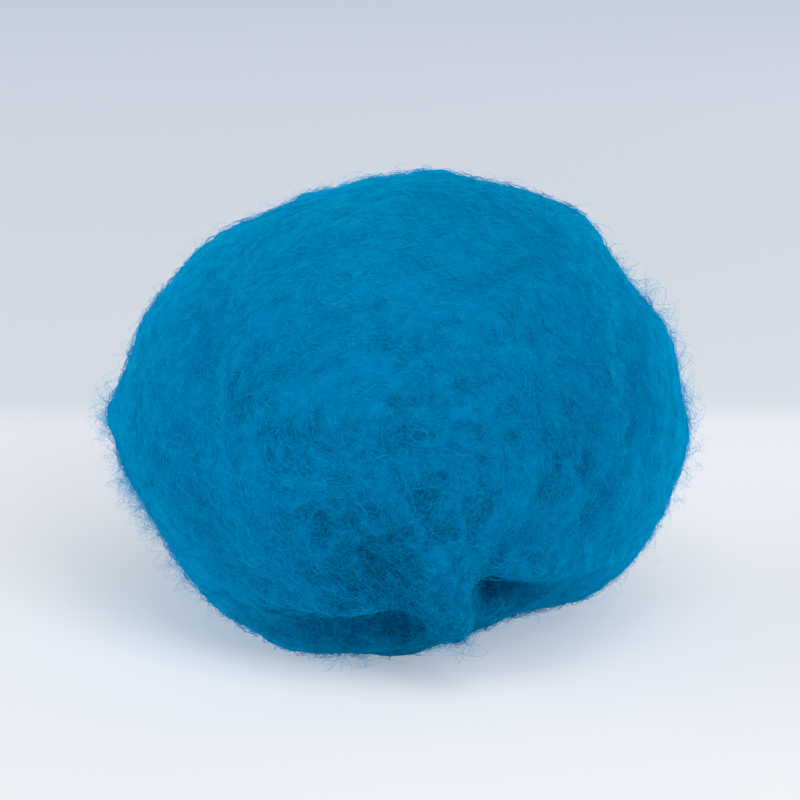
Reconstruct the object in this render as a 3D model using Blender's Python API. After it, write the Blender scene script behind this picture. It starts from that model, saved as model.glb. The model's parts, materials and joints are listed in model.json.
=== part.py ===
# A loose ball of carded wool, rolled by hand from a batt, resting on its own small flat spot.
# Metres, +Z up. The origin is on the floor below the middle of the ball. The tucked end faces -Y.
# The ball is one piece of wool, so it is one closed solid: a rounded body, the lobes and furrows
# that the rolled layers leave on it, and the end of the batt, tucked in low at the front.

from collections import namedtuple
import math

import bmesh
import bpy
from mathutils import Vector
import numpy as np

# Driving sizes of the rolled ball
HALF_WIDTH = 0.0595
HALF_DEPTH = 0.0530
HALF_HEIGHT = 0.0495
MIDDLE_HEIGHT = 0.0470

# How finely the body is divided, and where it is divided most finely
CUTS_PER_SIDE = 29
CROWDING = 0.36
CROWDED_AT = (12, -34)

# Places on the ball are given as (azimuth, elevation) in degrees, seen from its middle:
# azimuth 0 faces -Y and grows towards +X, elevation grows upwards.
Lobe = namedtuple("Lobe", "name place spread height")
LOBES = [
    Lobe("flattened left shoulder", (-84, 40), 30, -0.0030),
    Lobe("sloping left of the crown", (-124, 68), 17, -0.0020),
    Lobe("crown", (150, 74), 14, 0.0012),
    Lobe("top of the right shoulder", (105, 47), 11, 0.0022),
    Lobe("front of the right shoulder", (64, 55), 15, 0.0012),
    Lobe("dip below the right shoulder", (99, 31), 11, -0.0036),
    Lobe("right cheek", (76, 19), 9, 0.0008),
    Lobe("flattened right side", (94, 11), 9, -0.0016),
    Lobe("low right side", (86, -36), 14, 0.0022),
    Lobe("raised right underside", (56, -56), 17, -0.0036),
    Lobe("left corner", (-90, 1), 5, 0.0012),
    Lobe("low left side", (-74, -26), 13, -0.0010),
    Lobe("left heel", (-56, -50), 15, 0.0036),
    Lobe("front left heel", (-34, -46), 11, 0.0016),
    Lobe("front heel", (-12, -58), 14, 0.0006),
    Lobe("front belly", (-6, 4), 28, 0.0010),
    Lobe("front brow", (14, 42), 17, 0.0010),
    Lobe("left hollow", (-49, 22), 11, -0.0014),
    Lobe("middle hollow", (-23, 9), 9, -0.0010),
    Lobe("hollow above the tuck", (5, -2), 7, -0.0016),
    Lobe("low left hollow", (-15, -10), 7, -0.0011),
    Lobe("right hollow", (58, 12), 10, -0.0014),
    Lobe("back left lobe", (-142, 22), 22, 0.0018),
    Lobe("back right lobe", (146, 4), 20, 0.0016),
    Lobe("back hollow", (176, 34), 15, -0.0020),
    Lobe("low back lobe", (-170, -36), 18, 0.0014),
]

# A fold runs along a line over the ball. Its rise is how far it stands up, or sinks in where it
# is below zero, and it fades out at both ends. Its droop lowers the wool beside the line.
Fold = namedtuple("Fold", "name line width rise droop")
FOLDS = [
    Fold("side furrow", [(52, 56), (46, 38), (39, 14), (43, -6)], 5.0, -0.0022, 0),
    Fold("cheek furrow", [(72, 40), (62, 24), (57, 2), (60, -16)], 4.5, -0.0016, 0),
    Fold("left furrow", [(-66, 44), (-50, 26), (-47, 2), (-36, -22)], 5.0, -0.0018, 0),
    Fold("outer left furrow", [(-80, 20), (-68, 0), (-56, -24)], 4.5, -0.0013, 0),
    Fold("upper furrow", [(-42, 44), (-14, 53), (22, 54), (44, 50)], 4.0, -0.0011, 0),
    Fold("lower brow furrow", [(-34, 30), (-8, 36), (20, 32)], 4.0, -0.0011, 0),
    Fold("brow strand", [(-6, 32), (18, 37), (38, 40)], 4.0, 0.0012, 0),
    Fold("middle strand", [(-30, 16), (-12, 12), (-2, -2), (6, -14)], 4.0, 0.0011, 0),
    Fold("left strand", [(-42, -4), (-32, -18), (-18, -28)], 3.6, 0.0011, 0),
    Fold("right strand", [(50, -10), (36, -18), (22, -20)], 4.0, 0.0012, 0),
    Fold("left hem", [(-36, -28), (-18, -30), (0, -28), (9, -30)], 4.6, 0.0016, 0.0024),
    Fold("right hem", [(24, -19), (42, -22), (62, -26)], 4.4, 0.0014, 0.0016),
    Fold("left undercut", [(-40, -43), (-22, -43), (-6, -42), (7, -41)], 5.6, -0.0048, 0),
    Fold("left pocket", [(-15, -39), (-5, -38), (4, -37)], 4.6, -0.0060, 0),
    Fold("right undercut", [(25, -30), (36, -33), (50, -34), (66, -37)], 4.8, -0.0040, 0),
    Fold("right pocket", [(20, -28), (26, -31), (33, -32)], 3.8, -0.0066, 0),
    Fold("crown furrow", [(-150, 62), (160, 80), (110, 66)], 5.0, -0.0014, 0),
    Fold("back furrow", [(-118, 48), (-122, 16), (-146, -20)], 5.5, -0.0022, 0),
    Fold("far back furrow", [(122, 44), (130, 10), (158, -24)], 5.5, -0.0020, 0),
    Fold("back strand", [(-160, 14), (176, -6), (150, -26)], 5.0, 0.0014, 0),
]
STEPS_PER_SPAN = 10
END_MARGIN = 0.06

# The end of the batt comes down over the front as a flap and is tucked in below. The flap stands
# up most near its blunt tip, where the underside falls away behind it. Its sides are steep, and
# most of its rise comes in its lower half.
FLAP_LINE = [(3, -6), (6, -16), (10, -27), (13, -34.5)]
FLAP_HALF_WIDTH = 6.8
FLAP_SIDE_STEEPNESS = 4
FLAP_LOWER_BIAS = 1.5
FLAP_RISE_AT_TOP = 0.0006
FLAP_RISE_AT_TIP = 0.0058
FLAP_DROOP_AT_TIP = 0.0012

# Soft unevenness of the packed wool, as broad waves over the ball, whose crests bend a little
WAVE_BEND = 0.15
Wave = namedtuple("Wave", "across turns phase height")
WAVES = [
    Wave((0.2, 0.5, 0.8), 17, 0.4, 0.00035),
    Wave((0.9, -0.3, 0.2), 21, 1.9, 0.00030),
    Wave((-0.4, 0.8, -0.3), 26, 3.1, 0.00025),
    Wave((0.5, 0.6, -0.6), 31, 5.0, 0.00020),
]

# A point this close to the floor counts as lying on it
ON_FLOOR = 1e-6

WOOL_COLOUR = (0.004, 0.165, 0.370, 1.0)
WOOL_ROUGHNESS = 0.95


def direction(place):
    """Unit vector from the middle of the ball to a place given as (azimuth, elevation)."""
    azimuth = math.radians(place[0])
    elevation = math.radians(place[1])
    level = math.cos(elevation)
    return np.array([math.sin(azimuth) * level, -math.cos(azimuth) * level, math.sin(elevation)])


def angles_from(directions, centre):
    """Angle in degrees between each direction and a centre direction."""
    return np.degrees(np.arccos(np.clip(directions @ centre, -1.0, 1.0)))


def line_over_ball(places):
    """Close directions along a smooth line through the places, and the share of its length at each."""
    points = [direction(place) for place in places]
    before = 2 * points[0] - points[1]
    after = 2 * points[-1] - points[-2]
    knots = [before] + points + [after]
    line = []
    for i in range(1, len(knots) - 2):
        for step in range(STEPS_PER_SPAN):
            t = step / STEPS_PER_SPAN
            line.append(spline_point(knots[i - 1], knots[i], knots[i + 1], knots[i + 2], t))
    line.append(points[-1])
    line = np.array(line)
    line /= np.linalg.norm(line, axis=1)[:, None]
    lengths = np.linalg.norm(np.diff(line, axis=0), axis=1)
    along = np.concatenate([[0.0], np.cumsum(lengths)]) / lengths.sum()
    return line, along


def spline_point(a, b, c, d, t):
    """Point at share t between b and c on the smooth curve that passes a, b, c and d."""
    return 0.5 * (2 * b + (c - a) * t + (2 * a - 5 * b + 4 * c - d) * t ** 2
                  + (3 * b - a - 3 * c + d) * t ** 3)


def fold_weight(directions, fold):
    """How strongly a fold acts at each direction: 1 on its line, fading beside it and at its ends."""
    line, along = line_over_ball(fold.line)
    nearness = directions @ line.T
    nearest = nearness.argmax(axis=1)
    off_line = np.degrees(np.arccos(np.clip(nearness.max(axis=1), -1.0, 1.0)))
    inset = END_MARGIN + (1 - 2 * END_MARGIN) * along[nearest]
    end_fade = np.sqrt(np.sin(math.pi * inset))
    return np.exp(-(off_line / fold.width) ** 2) * end_fade


def flap_rise(directions):
    """How far the flap stands up at each direction, and the share of its full weight there."""
    line, along = line_over_ball(FLAP_LINE)
    nearness = directions @ line.T
    nearest = nearness.argmax(axis=1)
    off_line = np.degrees(np.arccos(np.clip(nearness.max(axis=1), -1.0, 1.0)))
    weight = np.exp(-(off_line / FLAP_HALF_WIDTH) ** FLAP_SIDE_STEEPNESS)
    share = along[nearest] ** FLAP_LOWER_BIAS
    rise = FLAP_RISE_AT_TOP + (FLAP_RISE_AT_TIP - FLAP_RISE_AT_TOP) * share
    return rise * weight, share * weight


def ball_points(directions):
    """Places on the wool's surface, measured from the middle of the ball."""
    halves = np.array([HALF_WIDTH, HALF_DEPTH, HALF_HEIGHT])
    radius = 1.0 / np.linalg.norm(directions / halves, axis=1)
    for lobe in LOBES:
        off_centre = angles_from(directions, direction(lobe.place))
        radius += lobe.height * np.exp(-(off_centre / lobe.spread) ** 2)
    for wave in WAVES:
        across = np.array(wave.across) / np.linalg.norm(wave.across)
        bent = directions @ across + WAVE_BEND * directions[:, 0] * directions[:, 2]
        radius += wave.height * np.sin(wave.turns * bent + wave.phase)
    droop = np.zeros(len(directions))
    for fold in FOLDS:
        weight = fold_weight(directions, fold)
        radius += fold.rise * weight
        droop += fold.droop * weight
    flap, hanging = flap_rise(directions)
    points = directions * (radius + flap)[:, None]
    points[:, 2] -= droop + FLAP_DROOP_AT_TIP * hanging
    return points


def divided_cube():
    """A cube with an even grid on every side, whose corners are rounded off afterwards."""
    body = bmesh.new()
    bmesh.ops.create_cube(body, size=2.0)
    bmesh.ops.subdivide_edges(body, edges=body.edges[:], cuts=CUTS_PER_SIDE - 1, use_grid_fill=True)
    return body


def crowded_directions(body):
    """Directions of the cube's points, evened out and drawn together round the tucked end."""
    corners = np.array([point.co for point in body.verts])
    evened = np.tan(corners * (math.pi / 4))
    evened /= np.linalg.norm(evened, axis=1)[:, None]
    evened += CROWDING * direction(CROWDED_AT)
    return evened / np.linalg.norm(evened, axis=1)[:, None]


def cut_flat_spot(body):
    """Cuts the ball off level with the floor, and closes the cut with one flat face."""
    everything = body.verts[:] + body.edges[:] + body.faces[:]
    cut = bmesh.ops.bisect_plane(body, geom=everything, dist=ON_FLOOR, plane_co=Vector((0, 0, 0)),
                                 plane_no=Vector((0, 0, -1)), clear_outer=True)
    rim = [piece for piece in cut["geom_cut"] if isinstance(piece, bmesh.types.BMEdge)]
    bmesh.ops.contextual_create(body, geom=rim)


def centre_on_floor(body):
    """Moves the ball sideways until the origin lies below the middle of its bounding box."""
    points = np.array([point.co for point in body.verts])
    middle = (points.min(axis=0) + points.max(axis=0)) / 2
    bmesh.ops.translate(body, verts=body.verts[:], vec=Vector((-middle[0], -middle[1], 0)))


def wool_material():
    """Dyed wool, with no shine."""
    material = bpy.data.materials.new("dyed_wool")
    material.use_nodes = True
    shader = material.node_tree.nodes["Principled BSDF"]
    shader.inputs["Base Color"].default_value = WOOL_COLOUR
    shader.inputs["Roughness"].default_value = WOOL_ROUGHNESS
    shader.inputs["Metallic"].default_value = 0.0
    material.diffuse_color = WOOL_COLOUR
    return material


def wool_ball():
    """The whole ball as one closed solid."""
    body = divided_cube()
    points = ball_points(crowded_directions(body))
    for point, place in zip(body.verts, points):
        point.co = Vector(place) + Vector((0, 0, MIDDLE_HEIGHT))
    cut_flat_spot(body)
    centre_on_floor(body)
    bmesh.ops.recalc_face_normals(body, faces=body.faces[:])
    mesh = bpy.data.meshes.new("wool_ball")
    body.to_mesh(mesh)
    body.free()
    mesh.shade_smooth()
    mesh.materials.append(wool_material())
    ball = bpy.data.objects.new("wool_ball", mesh)
    bpy.context.scene.collection.objects.link(ball)
    return ball


for old in list(bpy.data.objects):
    bpy.data.objects.remove(old)
wool_ball()
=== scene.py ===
import json
import math

import bpy
import numpy as np
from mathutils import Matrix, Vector, noise
from mathutils.bvhtree import BVHTree

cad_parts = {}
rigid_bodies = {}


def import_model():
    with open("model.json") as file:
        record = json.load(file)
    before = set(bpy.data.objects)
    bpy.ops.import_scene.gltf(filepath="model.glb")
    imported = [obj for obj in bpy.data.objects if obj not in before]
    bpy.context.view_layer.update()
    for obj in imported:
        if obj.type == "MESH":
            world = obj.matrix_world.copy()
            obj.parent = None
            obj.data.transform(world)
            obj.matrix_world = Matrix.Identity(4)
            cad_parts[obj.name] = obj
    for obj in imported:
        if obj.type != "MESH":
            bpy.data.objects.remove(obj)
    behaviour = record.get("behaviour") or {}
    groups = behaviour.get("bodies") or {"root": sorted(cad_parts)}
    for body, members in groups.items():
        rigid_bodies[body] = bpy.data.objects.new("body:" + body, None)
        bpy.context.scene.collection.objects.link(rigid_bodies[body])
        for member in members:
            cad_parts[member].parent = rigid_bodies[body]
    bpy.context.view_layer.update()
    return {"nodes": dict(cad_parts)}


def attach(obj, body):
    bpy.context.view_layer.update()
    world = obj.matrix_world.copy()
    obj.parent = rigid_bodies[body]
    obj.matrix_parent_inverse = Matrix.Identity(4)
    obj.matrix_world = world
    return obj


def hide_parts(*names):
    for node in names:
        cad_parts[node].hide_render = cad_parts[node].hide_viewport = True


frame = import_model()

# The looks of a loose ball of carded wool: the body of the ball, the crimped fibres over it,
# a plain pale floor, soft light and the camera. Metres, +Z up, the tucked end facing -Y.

# Places on the ball are (azimuth, elevation) in degrees: azimuth 0 faces -Y and grows towards +X
ballMiddle = np.array([0.0, 0.0, 0.047])
tuckPlace = (11, -33)  # where the end of the wool is tucked in

# Where each random pattern is read, so that no two are alike
noiseShifts = {
    "swirls": 41.3,
    "strands": 3.1,
    "pits": 17.7,
    "ruffles": 7.9,
    "clumps": 23.1,
}


def onlySelect(piece):
    bpy.ops.object.select_all(action="DESELECT")
    piece.select_set(True)
    bpy.context.view_layer.objects.active = piece


def applyModifier(piece, kind, **settings):
    onlySelect(piece)
    bpy.ops.object.modifier_add(type=kind)
    modifier = piece.modifiers[-1]
    for setting, value in settings.items():
        setattr(modifier, setting, value)
    bpy.ops.object.modifier_apply(modifier=modifier.name)


def pointsOf(mesh):
    points = np.empty(len(mesh.vertices) * 3)
    mesh.vertices.foreach_get("co", points)
    return points.reshape(-1, 3)


def normalsOf(mesh):
    normals = np.empty(len(mesh.vertices) * 3)
    mesh.vertex_normals.foreach_get("vector", normals)
    return normals.reshape(-1, 3)


def unit(vectors):
    return vectors / np.maximum(np.linalg.norm(vectors, axis=-1, keepdims=True), 1e-12)


def softStep(values, low, high):
    share = np.clip((values - low) / (high - low), 0, 1)
    return share * share * (3 - 2 * share)


def directionTo(azimuth, elevation):
    # from the ball's middle out to a place on the ball
    level = math.cos(math.radians(elevation))
    return np.array([math.sin(math.radians(azimuth)) * level,
                     -math.cos(math.radians(azimuth)) * level,
                     math.sin(math.radians(elevation))])


def degreesFrom(place, points):
    outward = unit(points - ballMiddle)
    return np.degrees(np.arccos(np.clip(outward @ directionTo(*place), -1, 1)))


def nearnessTo(place, spread, points):
    # 1 at the place, fading over the spread in degrees
    return np.exp(-(degreesFrom(place, points) / spread) ** 2)


# The way the wool lies

woolLie = {
    "gatheredWithin": 46,   # degrees from the tuck within which the fibres run straight into it
    "swirlSize": 0.015,     # metres across a patch that turns together
    "swirlTurn": 26,        # degrees that such a patch may turn
    "swirlInFront": 46,     # degrees more in the middle of the front
    "frontPlace": (4, 0),
    "frontSpread": 42,      # degrees
    "strandWidth": 2.0,     # degrees across half of a thick strand
    "strandPull": 1.5,      # how many such widths off a strand still turns the fibres its way
    "gapWidth": 2.3,        # degrees across half of an open gap
    "lineStops": 8,         # directions from one place on a line to the next
}

# Thick strands that stand out on the front, each through places on the ball
thickStrands = [
    [(-2, 2), (0, -5), (4, -12), (7, -17)],          # down to the flap
    [(15, -14), (16, -22), (17, -30)],               # right edge of the flap
    [(4, -16), (6, -24), (11, -34), (18, -40)],      # left edge of the flap
    [(-36, -10), (-31, -19), (-22, -29)],            # low on the left
    [(-25, -17), (-21, -25), (-16, -34)],
    [(-42, 0), (-38, -8), (-33, -16)],
    [(-51, 13), (-46, 4), (-41, -6)],                # up the left side
    [(-40, 12), (-34, 1), (-29, -9)],
    [(-39, 25), (-28, 34), (-14, 40), (4, 44)],      # level bands over the brow
    [(-8, 32), (6, 36), (22, 39), (40, 41)],
    [(-41, 36), (-29, 47), (-7, 56), (24, 60)],
    [(-51, 27), (-47, 37), (-39, 50)],
    [(24, 49), (46, 50), (60, 46)],
    [(52, 23), (50, 14), (49, 3)],                   # up the right side
    [(36, 16), (38, 7), (37, -4)],
    [(29, 20), (29, 10), (27, 0)],
    [(18, -14), (26, -10), (36, -8)],                # low on the right
    [(-20, 7), (-11, 3), (0, 7)],                    # the web in the middle
    [(-15, 22), (-4, 19), (5, 24)],
    [(-22, -4), (-12, -2), (-2, -3)],
    [(-11, -17), (-5, -26), (1, -30)],
    [(-16, -33), (-20, -46), (-25, -58)],            # a wisp down to the tuft at the floor
]

# Open gaps between the strands, sunk and given painted shade, where the ball looks darkest
openGaps = [
    [(5, 0), (6, -5), (7, -11)],
    [(-4, -4), (-1, -9), (2, -14)],
    [(-30, 32), (-18, 37), (-5, 40)],
    [(-29, 10), (-20, 8), (-14, 9)],
    [(-10, 13), (-3, 16), (3, 17)],
    [(-20, -8), (-15, -10), (-10, -9)],
    [(30, 10), (33, 3), (32, -3)],
    [(21, 41), (41, 46), (52, 46)],
    [(60, 16), (60, 10), (56, 3)],
    [(42, 0), (45, -7), (43, -11)],
    [(-42, 21), (-37, 18), (-34, 13)],
    [(-20, -38), (-8, -38), (3, -37)],               # under the hem, on the left of the flap
    [(-16, -42), (-5, -42), (4, -41)],
    [(22, -29), (30, -32), (38, -34)],               # under the hem, on its right
    [(34, -38), (47, -40), (60, -40)],
]


def noiseAt(points, size, offset):
    # one soft random value, from -1 to 1, for each point
    moved = points / size + offset
    return np.array([noise.noise(Vector(place)) for place in moved])


def lineOnBall(places):
    # close-set directions along a line through the places, and the way the line runs at each
    corners = np.array([directionTo(*place) for place in places])
    shares = np.linspace(0, 1, woolLie["lineStops"] + 1)[:-1, None]
    runs = [a * (1 - shares) + b * shares for a, b in zip(corners[:-1], corners[1:])]
    stops = unit(np.concatenate(runs + [corners[-1:]]))
    return stops, unit(np.gradient(stops, axis=0))


def nearLines(points, lines, width):
    # 1 on any of the lines, fading over the width in degrees, and the way that line runs there
    outward = unit(points - ballMiddle)
    nearness = np.zeros(len(points))
    way = np.zeros((len(points), 3))
    for places in lines:
        stops, runs = lineOnBall(places)
        closeness = outward @ stops.T
        nearest = closeness.argmax(axis=1)
        off = np.degrees(np.arccos(np.clip(closeness.max(axis=1), -1, 1)))
        here = np.exp(-(off / width) ** 2)
        closer = here > nearness
        nearness[closer] = here[closer]
        way[closer] = runs[nearest][closer]
    return nearness, way


def woolDirection(points, normals):
    # The fibres run over the ball in loops that all come together at the tuck, and close to the
    # tuck they run straight into it. In a thick strand they run along the strand.
    tuck = directionTo(*tuckPlace)
    level = unit(np.cross(tuck, [0, 0, 1]))
    outward = unit(points - ballMiddle)
    loops = unit(np.cross(np.cross(outward - tuck, level), outward))
    inward = unit(tuck - outward * (outward @ tuck)[:, None])
    sameWay = np.where((loops * inward).sum(axis=1) < 0, -1.0, 1.0)
    gathered = nearnessTo(tuckPlace, woolLie["gatheredWithin"], points)[:, None]
    along = loops * sameWay[:, None] * (1 - gathered) + inward * gathered
    along = unit(along - normals * (along * normals).sum(axis=1)[:, None])
    across = np.cross(normals, along)
    inFront = nearnessTo(woolLie["frontPlace"], woolLie["frontSpread"], points)
    mostTurn = np.radians(woolLie["swirlTurn"] + woolLie["swirlInFront"] * inFront)
    swirl = noiseAt(points, woolLie["swirlSize"], noiseShifts["swirls"])
    swirl = swirl * 2 * mostTurn  # doubled, as such a noise seldom passes a half
    turned = along * np.cos(swirl)[:, None] + across * np.sin(swirl)[:, None]
    pulledWithin = woolLie["strandWidth"] * woolLie["strandPull"]
    strand, way = nearLines(points, thickStrands, pulledWithin)
    sameWay = np.where((way * turned).sum(axis=1) < 0, -1.0, 1.0)
    turned = turned * (1 - strand)[:, None] + way * (sameWay * strand)[:, None]
    turned = unit(turned - normals * (turned * normals).sum(axis=1)[:, None])
    return turned, np.cross(normals, turned)


# The body of the ball

woolBodySettings = {
    "pointSpacing": 0.00088,   # metres between the points of the body's surface
    "mergeWithin": 1e-6,       # metres
    "softening": 14,           # rounds of smoothing that take the flats out of the built solid
    "softeningShare": 0.5,     # how far each round takes a point towards its neighbours
    "farSoftening": 14,        # rounds more away from the tuck, where those flats are wider
    "tuckReach": 42,           # degrees from the tuck within which the wool keeps its finer form
    "drawnIn": 0.0004,         # metres that the body lies inside the built solid, under its fringe
    "broadRounds": 12,         # rounds that even out the way the fibres stand from the body
    "restingRise": 0.004,      # metres above the floor over which the flat spot ends
    "ruffleSize": 0.0027,      # metres across a small ruffle
    "ruffleHeight": 0.0007,
    "ruffleLost": 0.65,        # share of the ruffles that is lost where the pits are
    "pitSize": 0.0025,         # metres across a pit between the strands
    "pitReach": 0.0022,        # metres that a pit is drawn out each way along the wool
    "pitStops": 5,             # readings along that reach
    "pitTold": 0.4,            # how much the pits tell in the hollows
    "strandSize": 0.0042,      # metres across a soft strand
    "strandReach": 0.0060,
    "strandStops": 7,
    "strandTold": 0.5,
    "hollowRange": (-0.55, 0.85),  # the sum of the two on the web, and on the floor of a pit
    "hollowDepth": 0.68,       # how deep the hollows are, of the whole depth
    "strandFill": 0.75,        # share of a hollow that a thick strand fills
    "gapDepth": 0.22,          # how much deeper an open gap is
    "depth": 0.0013,           # metres from the open web of fibres down to the floor of a pit
    "calm": 0.26,              # share of that depth that is left on the top, sides and back
    "pittedPlace": (-6, -10),  # the middle of the front, which is pitted most
    "pittedSpread": 52,        # degrees
    "floorShadeReach": (0.003, 0.021),  # metres above the floor over which the painted shade near the floor fades out
    "floorShadeDeeper": 0.50,       # painted shade: how much deeper in tone the wool is made close to the floor
    "placedShadeDeeper": 0.7,       # painted shade: how much deeper in tone it is made in the darker places listed below
    "plainFace": (0, 16),      # the middle of the side that is not made lighter
    "looserFrom": (56, 94),    # degrees from there over which the wool is made lighter
    "looserBehind": 0.75,      # how much lighter it is made there
}

# Where the body's edge lies further in or out: place, degrees across, metres outwards
edgeShapes = [
    ((-93, 12), 9, -0.0012),
    ((-84, -21), 11, -0.0012),
    ((-88, -7), 5, -0.0006),
    ((-91, -3), 3.2, 0.0012),      # a small tip on the left
    ((-64, -56), 9, -0.0011),
    ((-130, 66), 5, -0.0010),
    ((-101, 34), 6, 0.0008),
    ((93, 11), 8, -0.0014),
    ((75, -43), 9, 0.0010),
]

# Painted light and shade: where the wool is made lighter, as on the lit top, or darker, as in the
# shade under the hem: place, degrees across, share
looserPlaces = [
    ((0, 66), 34, 0.30),           # painted light on the whole top
    ((-58, -24), 12, 0.20),
    ((-3, -17), 13, -0.75),        # painted shade in the lower middle and under the hem
    ((-4, -42), 17, -0.60),
    ((-34, -44), 12, -0.30),
    ((28, -16), 12, -0.20),
    ((24, -38), 13, -0.50),
    ((50, -44), 16, -0.60),
    ((43, 10), 16, -0.35),
]


def softenedCopy(nodeName, pieceName):
    # a copy of the built solid, with its flats smoothed away
    s = woolBodySettings
    onlySelect(frame["nodes"][nodeName])
    bpy.ops.object.duplicate()
    piece = bpy.context.view_layer.objects.active
    piece.name = pieceName
    piece.data.name = pieceName
    piece.data.materials.clear()
    bpy.ops.object.mode_set(mode="EDIT")
    bpy.ops.mesh.select_all(action="SELECT")
    bpy.ops.mesh.remove_doubles(threshold=s["mergeWithin"])
    bpy.ops.object.mode_set(mode="OBJECT")
    applyModifier(piece, "REMESH", mode="VOXEL", voxel_size=s["pointSpacing"])
    applyModifier(piece, "SMOOTH", factor=s["softeningShare"], iterations=s["softening"])
    onlySelect(piece)
    bpy.ops.object.shade_smooth()
    return piece


def evenedOut(values, edges, rounds):
    # each value drawn towards the mean of its neighbours
    neighbours = np.bincount(edges.ravel(), minlength=len(values))[:, None]
    for _ in range(rounds):
        total = np.zeros_like(values)
        np.add.at(total, edges[:, 0], values[edges[:, 1]])
        np.add.at(total, edges[:, 1], values[edges[:, 0]])
        values = (values + total) / (1 + neighbours)
    return values


def drawnOutNoise(points, along, size, offset, reach, stops):
    # noise drawn out along the wool
    total = np.zeros(len(points))
    for step in np.linspace(-1, 1, stops):
        total += noiseAt(points + along * (step * reach), size, offset)
    return total / math.sqrt(stops)


def hollowsOf(points, normals):
    # 0 on the web of fibres, 1 on the floor of a pit
    s = woolBodySettings
    along, _ = woolDirection(points, normals)
    strands = drawnOutNoise(points, along, s["strandSize"], noiseShifts["strands"],
                            s["strandReach"], s["strandStops"])
    pits = drawnOutNoise(points, along, s["pitSize"], noiseShifts["pits"],
                         s["pitReach"], s["pitStops"])
    pitted = s["calm"] + (1 - s["calm"]) * nearnessTo(s["pittedPlace"], s["pittedSpread"], points)
    told = s["strandTold"] * strands + s["pitTold"] * pits
    depth = softStep(told, *s["hollowRange"]) * pitted
    strand, _ = nearLines(points, thickStrands, woolLie["strandWidth"])
    gap, _ = nearLines(points, openGaps, woolLie["gapWidth"])
    sunk = s["hollowDepth"] * depth * (1 - s["strandFill"] * strand)
    sunk += s["gapDepth"] * gap * (1 - strand)
    return np.clip(sunk, 0, 1), pitted


def restingShare(points):
    # 0 on the flat spot, which stays flat, and 1 a little above it
    return np.clip(points[:, 2] / woolBodySettings["restingRise"], 0, 1)


def floorShadeShare(points):
    # 1 close to the floor, where painted shade darkens the wool
    return 1 - softStep(points[:, 2], *woolBodySettings["floorShadeReach"])


def looserShare(points):
    # above 0 where painted light makes the wool lighter, below 0 where painted shade makes it darker
    s = woolBodySettings
    off = degreesFrom(s["plainFace"], points)
    total = s["looserBehind"] * softStep(off, *s["looserFrom"])
    for place, spread, share in looserPlaces:
        total += share * nearnessTo(place, spread, points)
    return np.clip(total, -1, 1)


def settleBody(piece, edges):
    # smoother away from the tuck, and in or out at its edge as the real wool is
    s = woolBodySettings
    points = pointsOf(piece.data)
    finer = nearnessTo(tuckPlace, s["tuckReach"], points)[:, None]
    points = points * finer + evenedOut(points, edges, s["farSoftening"]) * (1 - finer)
    piece.data.vertices.foreach_set("co", points.ravel())
    piece.data.update()
    outwards = np.full(len(points), -s["drawnIn"])
    for place, spread, height in edgeShapes:
        outwards += height * nearnessTo(place, spread, points)
    points += normalsOf(piece.data) * (outwards * restingShare(points))[:, None]
    points[:, 2] = np.maximum(points[:, 2], 0)
    piece.data.vertices.foreach_set("co", points.ravel())
    piece.data.update()


woolBody = softenedCopy("wool_ball", "woolBody")
smoothFaces = np.array([tuple(face.vertices) for face in woolBody.data.polygons])
smoothEdges = np.array([tuple(edge.vertices) for edge in woolBody.data.edges])
settleBody(woolBody, smoothEdges)
smoothPoints = pointsOf(woolBody.data)
smoothNormals = normalsOf(woolBody.data)
broadNormals = unit(evenedOut(smoothNormals, smoothEdges, woolBodySettings["broadRounds"]))
smoothSurface = BVHTree.FromPolygons([Vector(p) for p in smoothPoints], smoothFaces.tolist())
hollows, pittedness = hollowsOf(smoothPoints, smoothNormals)


def ruffle(piece):
    # small ruffles and hollows, and the values from which its finish takes its tones: painted shade
    # in the pits and gaps, near the floor and in the darker places, and painted light in the lighter
    # places
    s = woolBodySettings
    ruffled = noiseAt(smoothPoints, s["ruffleSize"], noiseShifts["ruffles"])
    ruffled *= 1 - s["ruffleLost"] * pittedness
    raised = s["ruffleHeight"] * ruffled - s["depth"] * hollows
    points = smoothPoints + smoothNormals * (raised * restingShare(smoothPoints))[:, None]
    points[:, 2] = np.maximum(points[:, 2], 0)
    piece.data.vertices.foreach_set("co", points.ravel())
    looser = looserShare(smoothPoints)
    # painted shade near the floor and in the darker places, added to that of the pits and gaps;
    # painted light in the lighter places
    floorAndPlacedShade = s["floorShadeDeeper"] * floorShadeShare(smoothPoints) - s["placedShadeDeeper"] * np.minimum(looser, 0)
    paintedShadeShare = np.clip(hollows + floorAndPlacedShade, 0, 1)
    lighter = np.maximum(looser, 0)
    for name, values in (("paintedShade", paintedShadeShare), ("pitted", pittedness), ("looser", lighter)):
        kept = piece.data.attributes.new(name, "FLOAT", "POINT")
        kept.data.foreach_set("value", values)
    piece.data.update()


ruffle(woolBody)
print("wool body:", len(woolBody.data.polygons) * 2, "triangles")

# Fibres. Each one is a thin closed tube of three sides, crimped, tapered to a point at both ends,
# and held a little above the body. They are joined into a few pieces.

closeFibres = {
    "pieces": 4,
    "each": 3400,
    "points": 9,                      # along one fibre
    "length": (0.0030, 0.0070),       # metres, shortest and longest
    "thickness": 0.00010,
    "lift": (0.00000, 0.00100),       # metres above the body at its middle
    "fewLiftFar": 1.7,                # how much rarer the high ones are than the low ones
    "ends": -0.0005,                  # metres above the body at its ends, so they sink in
    "free": 0.0,                      # share of the fibres whose one end stands out free
    "wander": 42,                     # degrees that a fibre may turn from the lie of the wool
    "crimp": (0.0015, 0.0030),        # metres from wave to wave
    "crimpTurn": 0.48,                # radians that it swings at each wave
    "bend": 130,                      # radians a metre that it curls
    "fibreFloorShade": 0.30,              # painted shade: how much darker it is made close to the floor
    "seed": 11,
}

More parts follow.
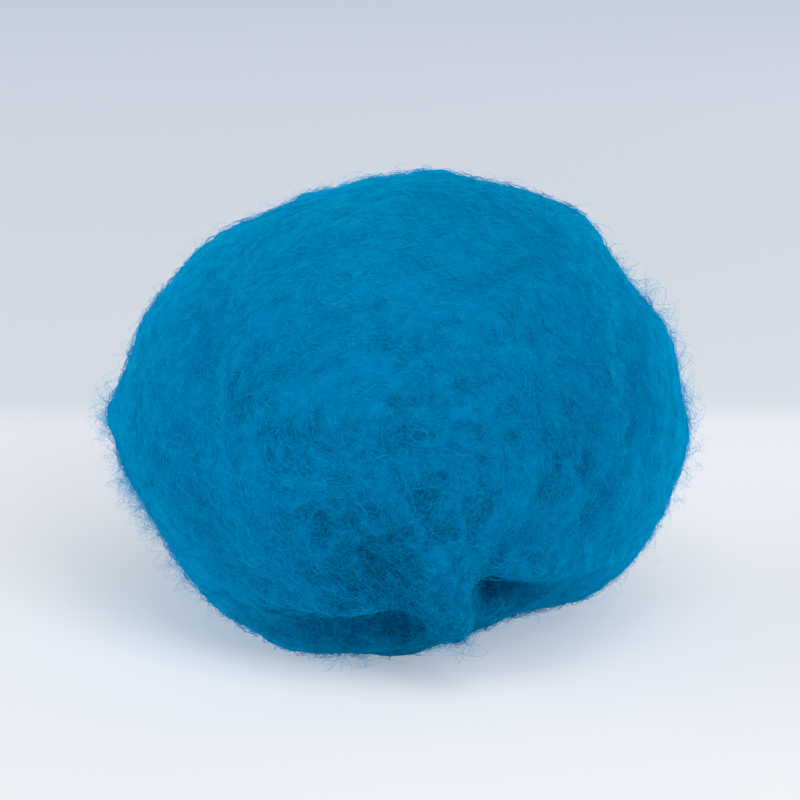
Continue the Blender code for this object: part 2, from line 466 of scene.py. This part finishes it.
shortFibres = {
    "pieces": 1,
    "each": 4000,
    "points": 6,
    "length": (0.0012, 0.0036),
    "thickness": 0.00005,
    "lift": (0.0003, 0.0016),
    "fewLiftFar": 1.2,
    "ends": -0.0003,
    "free": 0.7,
    "wander": 80,
    "crimp": (0.0020, 0.0040),
    "crimpTurn": 0.6,
    "bend": 200,
    "fibreFloorShade": 0.20,
    "seed": 63,
}

strayFibres = {
    "pieces": 1,
    "each": 2700,
    "points": 9,
    "length": (0.003, 0.009),
    "thickness": 0.00004,
    "lift": (0.0002, 0.0026),
    "fewLiftFar": 1.6,
    "ends": -0.0004,
    "free": 0.45,
    "wander": 60,
    "crimp": (0.0035, 0.0070),
    "crimpTurn": 0.6,
    "bend": 150,
    "fibreFloorShade": 0.20,
    "seed": 29,
}

tuftFibres = {
    "pieces": 1,
    "each": 1700,
    "points": 9,
    "length": (0.003, 0.008),
    "thickness": 0.000045,
    "lift": (0.0004, 0.0050),
    "fewLiftFar": 1.1,
    "ends": -0.0004,
    "free": 0.75,
    "wander": 40,
    "crimp": (0.0030, 0.0060),
    "crimpTurn": 0.6,
    "bend": 140,
    "fibreFloorShade": 0.0,
    "seed": 47,
}

# Where the ball is fuzzier than elsewhere: place, degrees across, how many times as fuzzy
fuzzyPlaces = [
    ((-90, -16), 24, 3.2),
    ((90, 8), 26, 2.2),
    ((98, 50), 20, 0.8),
    ((-20, -58), 12, 1.0),
]

# Small tufts that stand out: place, degrees across, share
tuftPlaces = [
    ((-92, -1), 4, 2.2),
    ((-90, -22), 15, 1.0),
    ((-22, -58), 4, 1.0),
    ((-30, -45), 7, 0.3),
    ((-8, -37), 8, 0.5),
    ((14, -38), 5, 0.7),
    ((90, 10), 24, 0.4),
]

# Fibres that stand out do so in clumps
clumps = {
    "size": 0.006,            # metres across a clump
    "least": 0.25,            # how fuzzy it is between the clumps
    "more": 1.5,              # how much fuzzier in a clump
    "range": (-0.10, 0.45),   # the noise between the clumps, and in one
}

# What is the same for all the fibres
fibreForm = {
    "sides": 3,
    "onWeb": 1.2,                # how many start on the web of fibres, against 0.2 in a pit
    "onStrands": 1.0,            # how many more start on the thick strands
    "clearOfFloor": 0.0015,      # metres above the floor below which none starts
    "loopPower": 0.8,            # how a fibre held at both ends arches: lower is fuller
    "standingPower": 1.3,        # how one with a free end rises: higher is later
    "waver": 0.10,               # share of its height that a fibre wavers up and down
    "waverPace": 0.7,            # such wavers to one wave of its crimp
    "waverShift": 9e3,           # keeps the wavers of two fibres apart
    "tip": 0.35,                 # share of the thickness that is left at the tips
    "thicker": (0.75, 1.2),      # how thick it is, of the thickness given
    "shadeFreeHeight": 0.0009,          # metres above the body from which a fibre has no painted shade
    "sunkShadeTone": 0.35,            # painted shade: share of its brightness that is left at its sunk ends
    "fewBright": 1.4,            # how much rarer the bright ones are than the dark ones
    "meanTone": 0.4,             # the mean of their tones
    "movedTone": 0.46,           # and where it is moved to
    "toneRange": 0.16,           # share of their range that is left
    "toneRangeInFront": 0.38,    # painted light: how much brighter they are made on the lit top and in the other lighter places
    "looserBrighter": 0.6,       # how much brighter they are where the wool is looser
    "mapMargin": 0.1,            # share of a fibre's square of the map that is left as its edge
}


def clumped(points):
    raised = softStep(noiseAt(points, clumps["size"], noiseShifts["clumps"]), *clumps["range"])
    return clumps["least"] + clumps["more"] * raised


def fuzziness(points):
    total = np.ones(len(points))
    for place, spread, times in fuzzyPlaces:
        total += times * nearnessTo(place, spread, points)
    return total * clumped(points)


def evenWeight(points):
    return np.ones(len(points))


def tuftWeight(points):
    total = np.zeros(len(points))
    for place, spread, share in tuftPlaces:
        total += share * nearnessTo(place, spread, points)
    return total * clumped(points)


def rootsOnBall(count, rng, weightOf):
    # random places on the body's faces, each on the half that its first three corners span,
    # as many to the area everywhere but for the weight
    a, b, c = (smoothPoints[smoothFaces[:, k]] for k in range(3))
    areas = np.linalg.norm(np.cross(b - a, c - a), axis=1)
    middles = (a + b + c) / 3
    strand, _ = nearLines(middles, thickStrands, woolLie["strandWidth"])
    covered = fibreForm["onWeb"] - hollows[smoothFaces[:, :3]].mean(axis=1)
    covered += fibreForm["onStrands"] * strand
    areas *= weightOf(middles) * covered * (middles[:, 2] > fibreForm["clearOfFloor"])
    chosen = rng.choice(len(areas), size=count, p=areas / areas.sum())
    across = rng.random((count, 2))
    across = np.where(across.sum(axis=1, keepdims=True) > 1, 1 - across, across)
    roots = a[chosen] + across[:, :1] * (b - a)[chosen] + across[:, 1:] * (c - a)[chosen]
    return roots, broadNormals[smoothFaces[chosen, 0]]


def heightsAbove(s, rng, count, share, wave):
    # how high each point of each fibre stands above the body
    lowest, highest = s["lift"]
    lift = (lowest + (highest - lowest) * rng.random(count) ** s["fewLiftFar"])[:, None]
    loop = np.sin(math.pi * share) ** fibreForm["loopPower"]
    standing = np.sin(0.5 * math.pi * share) ** fibreForm["standingPower"]
    free = rng.random(count) < s["free"]
    arch = np.where(free[:, None], standing[None, :], loop[None, :])
    height = s["ends"] + (lift - s["ends"]) * arch
    waver = np.sin(wave * fibreForm["waverPace"] + lift * fibreForm["waverShift"])
    return height + fibreForm["waver"] * lift * waver * arch


def growFibres(s, rng, weightOf):
    count, steps = s["each"], s["points"]
    roots, normals = rootsOnBall(count, rng, weightOf)
    along, across = woolDirection(roots, normals)
    heading = rng.normal(0, math.radians(s["wander"]), count) + math.pi * rng.integers(0, 2, count)
    length = rng.uniform(*s["length"], count)
    crimp = rng.uniform(*s["crimp"], count)
    bend = rng.normal(0, s["bend"], count)
    start = rng.uniform(0, 2 * math.pi, count)
    share = np.linspace(0, 1, steps)
    reached = (share[None, :] - 0.5) * length[:, None]
    wave = 2 * math.pi * reached / crimp[:, None] + start[:, None]
    angle = heading[:, None] + bend[:, None] * reached + s["crimpTurn"] * np.sin(wave)
    stride = (np.cos(angle)[:, :, None] * along[:, None, :]
              + np.sin(angle)[:, :, None] * across[:, None, :])
    path = np.cumsum(stride * (length / (steps - 1))[:, None, None], axis=1)
    path += (roots - path[:, steps // 2])[:, None, :]
    height = heightsAbove(s, rng, count, share, wave)
    ups = np.empty_like(path)
    for fibre in range(count):
        for step in range(steps):
            nearest, _, face, _ = smoothSurface.find_nearest(path[fibre, step])
            ups[fibre, step] = broadNormals[smoothFaces[face, 0]]
            path[fibre, step] = nearest
    path += ups * height[:, :, None]
    path[:, :, 2] = np.maximum(path[:, :, 2], s["thickness"])
    taper = fibreForm["tip"] + (1 - fibreForm["tip"]) * np.sin(math.pi * share)
    thicker = rng.uniform(*fibreForm["thicker"], count)
    radius = s["thickness"] / 2 * thicker[:, None] * taper[None, :]
    tone = rng.random(count) ** fibreForm["fewBright"]
    tones = fibreTones(s, tone, height, roots)
    return path, ups, radius, tones


def fibreTones(s, tone, height, roots):
    # 0 to 1 for each point of each fibre: painted shade where it sinks in, calmer away from the
    #                                      front, and painted light and shade by place
    form = fibreForm
    depth = softStep(height, s["ends"], form["shadeFreeHeight"])
    tones = tone[:, None] * (form["sunkShadeTone"] + (1 - form["sunkShadeTone"]) * depth)
    inFront = nearnessTo(woolBodySettings["pittedPlace"], woolBodySettings["pittedSpread"], roots)
    left = form["toneRange"] + form["toneRangeInFront"] * inFront
    tones = form["movedTone"] + (tones - form["meanTone"]) * left[:, None]
    # painted light in the lighter places, painted shade near the floor and in the darker places
    shift = form["looserBrighter"] * looserShare(roots) - s["fibreFloorShade"] * floorShadeShare(roots)
    return np.clip(tones + shift[:, None], 0, 1)


def fibreMesh(name, path, ups, radius, tone):
    # one mesh of many fibres, each a ring of corners at every step and a point at each end
    count, steps, _ = path.shape
    sides = fibreForm["sides"]
    rings = steps - 2
    forward = unit(path[:, 2:] - path[:, :-2])
    side = unit(np.cross(forward, ups[:, 1:-1]))
    over = np.cross(side, forward)
    turns = np.arange(sides) * 2 * math.pi / sides
    around = (np.cos(turns)[None, None, :, None] * side[:, :, None, :]
              + np.sin(turns)[None, None, :, None] * over[:, :, None, :])
    ringPoints = path[:, 1:-1, None, :] + around * radius[:, 1:-1, None, None]
    points = np.concatenate([ringPoints.reshape(count, -1, 3), path[:, :1], path[:, -1:]], axis=1)
    ringTones = np.repeat(tone[:, 1:-1], sides, axis=1)
    tones = np.concatenate([ringTones, tone[:, :1], tone[:, -1:]], axis=1)

    # each corner is (step along the fibre, side around it), where the last side is the first again
    corners = []
    for ring in range(1, rings):
        for turn in range(sides):
            corners.append([(ring, turn), (ring + 1, turn), (ring + 1, turn + 1), (ring, turn + 1)])
    for turn in range(sides):
        corners.append([(1, turn), (1, turn + 1), (0, turn + 0.5)])
        corners.append([(rings, turn + 1), (rings, turn), (rings + 1, turn + 0.5)])

    def pointNumber(step, turn):
        if step == 0:
            return sides * rings
        if step == rings + 1:
            return sides * rings + 1
        return sides * (step - 1) + int(turn) % sides

    faces = [[pointNumber(*corner) for corner in face] for face in corners]
    perFibre = points.shape[1]
    starts = range(0, count * perFibre, perFibre)
    allFaces = [[start + number for number in face] for start in starts for face in faces]
    mesh = bpy.data.meshes.new(name)
    mesh.from_pydata(points.reshape(-1, 3).tolist(), [], allFaces)
    kept = mesh.attributes.new("fibreTone", "FLOAT", "POINT")
    kept.data.foreach_set("value", tones.ravel())

    # one small square of the map for each fibre
    squares = math.ceil(math.sqrt(count))
    margin = fibreForm["mapMargin"]
    flat = np.array([corner for face in corners for corner in face], dtype=float)
    shares = np.stack([flat[:, 1] / sides, flat[:, 0] / (steps - 1)], axis=1)
    within = margin + (1 - 2 * margin) * shares
    number = np.arange(count)
    square = np.stack([number % squares, number // squares], axis=1)
    layout = mesh.uv_layers.new(name="OFBake")
    layout.data.foreach_set("uv", ((square[:, None, :] + within[None, :, :]) / squares).ravel())

    mesh.shade_smooth()
    mesh.update()
    piece = bpy.data.objects.new(name, mesh)
    bpy.context.scene.collection.objects.link(piece)
    return piece


def makeFibres(name, settings, weightOf):
    rng = np.random.default_rng(settings["seed"])
    made = []
    for number in range(settings["pieces"]):
        grown = growFibres(settings, rng, weightOf)
        piece = fibreMesh(name + str(number + 1), *grown)
        triangles = settings["each"] * 2 * fibreForm["sides"] * (settings["points"] - 2)
        print(piece.name + ":", settings["each"], "fibres,", triangles, "triangles")
        made.append(piece)
    return made


closePieces = makeFibres("closeFibres", closeFibres, evenWeight)
fringePieces = makeFibres("shortFibres", shortFibres, evenWeight)
fringePieces += makeFibres("strayFibres", strayFibres, fuzziness)
fringePieces += makeFibres("tuftFibres", tuftFibres, tuftWeight)
fibrePieces = closePieces + fringePieces

# Finishes

woolFinish = {
    "paintedShadeColour": (0.0002, 0.050, 0.140),      # painted shade: the colour down in the pits and gaps, near the floor and in the darker places
    "middle": (0.0002, 0.190, 0.430),
    "loose": (0.0004, 0.400, 0.740),     # painted light: the lit colour of the top and of the other lighter places
    "web": (0.0006, 0.320, 0.630),       # fine lines over the body
    "fibreDark": (0.0002, 0.160, 0.375),
    "fibreBright": (0.0010, 0.420, 0.800),
    "fringeDark": (0.0004, 0.200, 0.440),    # painted light: single fibres that stand out are made lighter, for the light that shines through them
    "fringeBright": (0.0015, 0.540, 0.900),
    "lines": [                           # curls to the metre, shift in metres, half width
        (448, 1.7, 0.030),
        (640, 0.3, 0.040),
        (864, 0.9, 0.045),
    ],
    "lineDetail": 2.0,
    "lineBend": 0.6,
    "lineShare": 0.15,                   # how clearly the lines show
    "lineShareInFront": 0.25,            # and how much more in the middle of the front
    "pits": (430, 2.0, 0.3),             # small uneven places: to the metre, detail, bend
    "pitsTold": 1.5,                     # how much they tell
    "grain": (1200, 2.0, 0.0),
    "grainTold": 0.7,
    "depthRange": (-0.20, 1.15),         # where painted shade and random unevenness leave the wool lightest, and darkest
    "noiseRoughness": 0.55,
    "bump": 0.5,
    "bumpDistance": 0.00035,             # metres
    "roughness": 0.85,
    "sheen": 1.0,
    "sheenRoughness": 0.35,              # lower keeps the sheen closer to the edge
    "sheenTint": (0.0, 0.58, 1.0),
}


def newFinish(name):
    material = bpy.data.materials.new(name)
    material.use_nodes = True
    return material, material.node_tree.nodes["Principled BSDF"]


def addNode(material, kind, values=None, **settings):
    made = material.node_tree.nodes.new(kind)
    for setting, value in settings.items():
        setattr(made, setting, value)
    for socket, value in (values or {}).items():
        made.inputs[socket].default_value = value
    return made


def link(material, fromSocket, toSocket):
    material.node_tree.links.new(fromSocket, toSocket)


def savedValue(material, name):
    # a value saved with each point of the mesh
    return addNode(material, "ShaderNodeAttribute", attribute_name=name).outputs["Fac"]


def combine(material, operation, a, b):
    # a and b are each a socket or a number
    made = addNode(material, "ShaderNodeMath", operation=operation)
    for place, value in enumerate((a, b)):
        if isinstance(value, (int, float)):
            made.inputs[place].default_value = value
        else:
            link(material, value, made.inputs[place])
    return made.outputs[0]


def shareBetween(material, value, low, high):
    # the value turned to a share: 0 at low, 1 at high, with soft ends
    made = addNode(material, "ShaderNodeMapRange", {"From Min": low, "From Max": high},
                   interpolation_type="SMOOTHSTEP")
    link(material, value, made.inputs["Value"])
    return made.outputs["Result"]


def softNoise(material, coordinates, scale, detail, bend):
    # a soft noise less its middle value
    made = addNode(material, "ShaderNodeTexNoise",
                   {"Scale": scale, "Detail": detail, "Roughness": woolFinish["noiseRoughness"],
                    "Distortion": bend})
    link(material, coordinates, made.inputs["Vector"])
    return combine(material, "SUBTRACT", made.outputs["Fac"], 0.5)


def curls(material, coordinates, scale, shift, width):
    # thin curling lines, as of tangled fibres: where a soft noise passes its middle value
    f = woolFinish
    moved = addNode(material, "ShaderNodeMapping", {"Location": (shift, shift * 0.7, -shift)})
    link(material, coordinates, moved.inputs["Vector"])
    soft = softNoise(material, moved.outputs["Vector"], scale, f["lineDetail"], f["lineBend"])
    near = addNode(material, "ShaderNodeMath", operation="ABSOLUTE")
    link(material, soft, near.inputs[0])
    return shareBetween(material, near.outputs[0], width, 0.0)


def colourMix(material, share, first, second):
    # first and second are each a colour or a socket
    made = addNode(material, "ShaderNodeMix", data_type="RGBA")
    colourSockets = [socket for socket in made.inputs if socket.type == "RGBA"]
    for socket, value in zip(colourSockets, (first, second)):
        if isinstance(value, tuple):
            socket.default_value = (*value, 1)
        else:
            link(material, value, socket)
    link(material, share, made.inputs[0])
    return next(socket for socket in made.outputs if socket.type == "RGBA")


def setShader(shader):
    shader.inputs["Roughness"].default_value = woolFinish["roughness"]
    shader.inputs["Specular IOR Level"].default_value = 0.0
    shader.inputs["Sheen Weight"].default_value = woolFinish["sheen"]
    shader.inputs["Sheen Roughness"].default_value = woolFinish["sheenRoughness"]
    shader.inputs["Sheen Tint"].default_value = (*woolFinish["sheenTint"], 1)


def finishBody():
    f = woolFinish
    material, shader = newFinish("dyedWool")
    place = addNode(material, "ShaderNodeTexCoord").outputs["Object"]
    paintedShade, pitted, looser = (savedValue(material, name) for name in ("paintedShade", "pitted", "looser"))
    layers = [curls(material, place, *line) for line in f["lines"]]
    lines = layers[0]
    for layer in layers[1:]:
        lines = combine(material, "MAXIMUM", lines, layer)
    pits = combine(material, "MULTIPLY", softNoise(material, place, *f["pits"]), f["pitsTold"])
    grain = combine(material, "MULTIPLY", softNoise(material, place, *f["grain"]), f["grainTold"])
    uneven = combine(material, "MULTIPLY", combine(material, "ADD", pits, grain), pitted)
    # painted shade towards the shade colour in the pits, gaps and other shaded places, with random
    # unevenness over it
    depth = shareBetween(material, combine(material, "ADD", paintedShade, uneven), *f["depthRange"])
    # painted light towards the lit colour in the lighter places
    lighter = colourMix(material, looser, f["middle"], f["loose"])
    ground = colourMix(material, depth, lighter, f["paintedShadeColour"])
    shown = combine(material, "MULTIPLY", pitted, f["lineShareInFront"])
    shown = combine(material, "ADD", shown, f["lineShare"])
    shown = combine(material, "MULTIPLY", lines, shown)
    link(material, colourMix(material, shown, ground, f["web"]), shader.inputs["Base Color"])
    bump = addNode(material, "ShaderNodeBump", {"Strength": f["bump"], "Distance": f["bumpDistance"]})
    link(material, combine(material, "SUBTRACT", lines, depth), bump.inputs["Height"])
    link(material, bump.outputs["Normal"], shader.inputs["Normal"])
    setShader(shader)
    return material


def finishFibres(name, dark, bright):
    material, shader = newFinish(name)
    tone = savedValue(material, "fibreTone")
    colour = colourMix(material, tone, woolFinish[dark], woolFinish[bright])
    link(material, colour, shader.inputs["Base Color"])
    setShader(shader)
    return material


woolBody.data.materials.append(finishBody())
closeFinish = finishFibres("woolFibre", "fibreDark", "fibreBright")
fringeFinish = finishFibres("fringeFibre", "fringeDark", "fringeBright")
for piece in closePieces:
    piece.data.materials.append(closeFinish)
for piece in fringePieces:
    piece.data.materials.append(fringeFinish)
print("finishes made")

# Floor, light and camera

studio = {
    "floorSize": 8.0,
    "floorColour": (0.682, 0.646, 0.636),
    "midColour": (0.740, 0.694, 0.702),
    "farColour": (0.623, 0.613, 0.629),
    "topColour": (0.712, 0.698, 0.740),
    "glow": 0.54,                 # painted glow: the floor gives off light of its own, though it is no lamp, which softens the shadow
    # painted tint: a bluer glow over a warmer floor colour, so that the shade near the ball comes out
    # bluish
    "glowTint": (0.835, 1.0, 1.130),
    "midReach": (0.020, 0.130),   # metres behind the middle over which it turns to its mid tone
    "farReach": (0.145, 0.180),   # to its far tone
    "topReach": (0.180, 0.750),   # and to its farthest
    "floorRoughness": 0.8,
    "sky": (0.95, 0.975, 1.0),
    "skyStrength": 0.22,
    "lamps": [                    # place, width, height and watts of each soft lamp
        ((0.10, -0.60, 0.80), 0.60, 0.60, 3.90),   # the two main ones, in front
        ((0.42, -0.72, 0.50), 0.45, 0.45, 3.20),
        ((-0.60, -0.50, 0.45), 0.45, 0.45, 0.20),
        ((-0.85, 0.00, 0.15), 0.60, 0.22, 3.60),   # low ones for the sides, clear of the floor
        ((0.70, 0.50, 0.20), 0.45, 0.25, 1.00),
    ],
}


def makeFloor():
    bpy.ops.object.select_all(action="DESELECT")
    bpy.ops.mesh.primitive_plane_add(size=studio["floorSize"], location=(0, 0, 0))
    floor = bpy.context.object
    floor.name = "floor"
    material, shader = newFinish("paleFloor")
    place = addNode(material, "ShaderNodeTexCoord").outputs["Object"]
    split = addNode(material, "ShaderNodeSeparateXYZ")
    link(material, place, split.inputs[0])
    colour = studio["floorColour"]
    for tone in ("mid", "far", "top"):
        share = shareBetween(material, split.outputs["Y"], *studio[tone + "Reach"])
        colour = colourMix(material, share, colour, studio[tone + "Colour"])
    link(material, colour, shader.inputs["Base Color"])
    glowing = addNode(material, "ShaderNodeVectorMath", {1: studio["glowTint"]}, operation="MULTIPLY")
    link(material, colour, glowing.inputs[0])
    link(material, glowing.outputs[0], shader.inputs["Emission Color"])
    shader.inputs["Emission Strength"].default_value = studio["glow"]
    shader.inputs["Roughness"].default_value = studio["floorRoughness"]
    shader.inputs["Specular IOR Level"].default_value = 0.0
    floor.data.materials.append(material)
    return floor


def makeLight():
    world = bpy.data.worlds.new("softSky")
    world.use_nodes = True
    background = world.node_tree.nodes["Background"]
    background.inputs["Color"].default_value = (*studio["sky"], 1)
    background.inputs["Strength"].default_value = studio["skyStrength"]
    bpy.context.scene.world = world
    for place, width, height, watts in studio["lamps"]:
        bpy.ops.object.light_add(type="AREA", location=place)
        lamp = bpy.context.object
        lamp.data.shape = "RECTANGLE"
        lamp.data.size = width
        lamp.data.size_y = height
        lamp.data.energy = watts
        aim = Vector(ballMiddle) - lamp.location
        lamp.rotation_euler = aim.to_track_quat("-Z", "Y").to_euler()


view = {
    "aim": (0, 0, 0.047),
    "distance": 0.62,
    "elevation": 16,               # degrees above level
    "lens": 90.4,                  # millimetres, as the sensor
    "sensor": 24,
    "shift": (3 / 800, 10 / 800),  # shares of the frame
    "nearest": 0.01,
}


def makeCamera():
    tilt = math.radians(view["elevation"])
    away = Vector((0, -math.cos(tilt), math.sin(tilt))) * view["distance"]
    bpy.ops.object.camera_add(location=Vector(view["aim"]) + away)
    camera = bpy.context.object
    camera.name = "camera"
    camera.rotation_euler = (-away).to_track_quat("-Z", "Y").to_euler()
    camera.data.sensor_width = view["sensor"]
    camera.data.lens = view["lens"]
    camera.data.shift_x, camera.data.shift_y = view["shift"]
    camera.data.clip_start = view["nearest"]
    bpy.context.scene.camera = camera


makeCamera()
floor = makeFloor()
makeLight()
bpy.context.scene.view_settings.view_transform = "Standard"
print("floor, light and camera made")

# What each piece belongs to

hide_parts("wool_ball")
for piece in [woolBody] + fibrePieces:
    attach(piece, "root")
